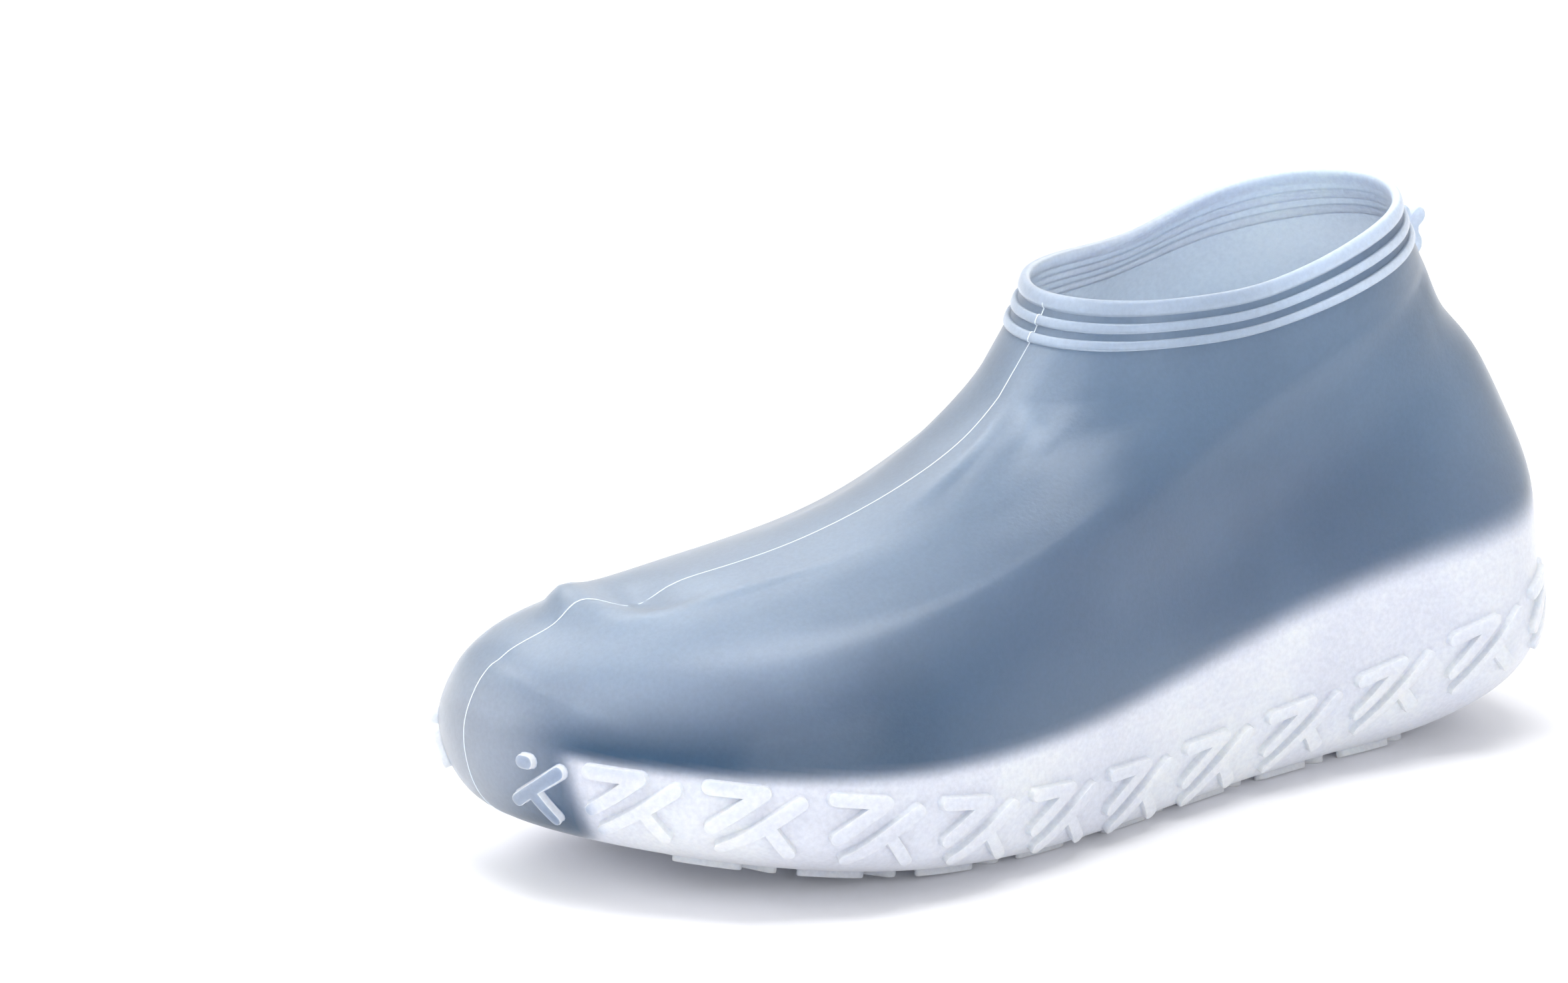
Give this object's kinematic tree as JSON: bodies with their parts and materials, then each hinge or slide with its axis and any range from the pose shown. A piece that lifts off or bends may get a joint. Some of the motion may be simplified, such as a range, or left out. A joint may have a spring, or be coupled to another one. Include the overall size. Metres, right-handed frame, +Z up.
{
  "type": "overshoe",
  "caption": "Soft translucent waterproof overshoe for the left foot, with a ribbed collar, a heel tab, a raised grip pattern round its sides and a treaded sole.",
  "frame": {"origin": "on the floor, under the middle of the box that holds the overshoe", "axes": "+X from toe to heel, -Y towards the outer side of the left foot, +Z up"},
  "size_m": [0.304, 0.1208, 0.143],
  "materials": {
    "silicone": "satin"
  },
  "bodies": {
    "root": {"overshoe": "silicone"}
  },
  "joints": []
}
